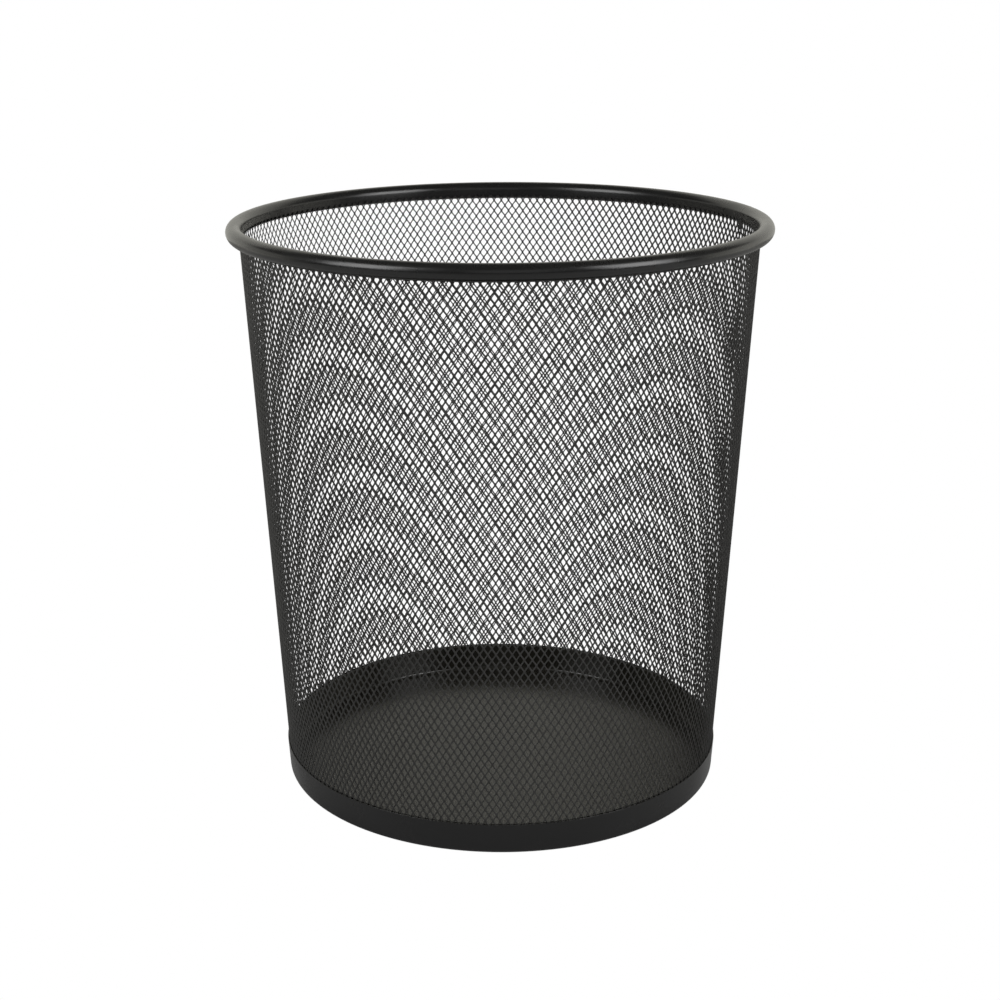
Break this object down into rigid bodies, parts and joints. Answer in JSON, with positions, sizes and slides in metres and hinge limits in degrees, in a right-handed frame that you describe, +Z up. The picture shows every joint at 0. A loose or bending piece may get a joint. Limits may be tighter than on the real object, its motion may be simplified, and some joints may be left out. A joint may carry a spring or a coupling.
{
  "type": "wastebasket",
  "caption": "Round office wastebasket with a tapered expanded-steel mesh wall, a rolled tube rim and a solid pressed base.",
  "frame": {"origin": "on the floor under the basket's axis, at the underside of the base", "axes": "+Z up along the basket's axis; X and Y are alike because the basket is round"},
  "size_m": [0.265, 0.265, 0.2855],
  "materials": {
    "rim_coat": "semi-gloss black powder coat",
    "mesh_coat": "semi-gloss black powder coat on expanded steel",
    "band_coat": "satin black powder coat",
    "pan_coat": "satin warm black powder coat"
  },
  "bodies": {
    "root": {"rim_tube": "rim_coat", "mesh_wall": "mesh_coat", "base_band": "band_coat", "base_pan": "pan_coat"}
  },
  "joints": []
}
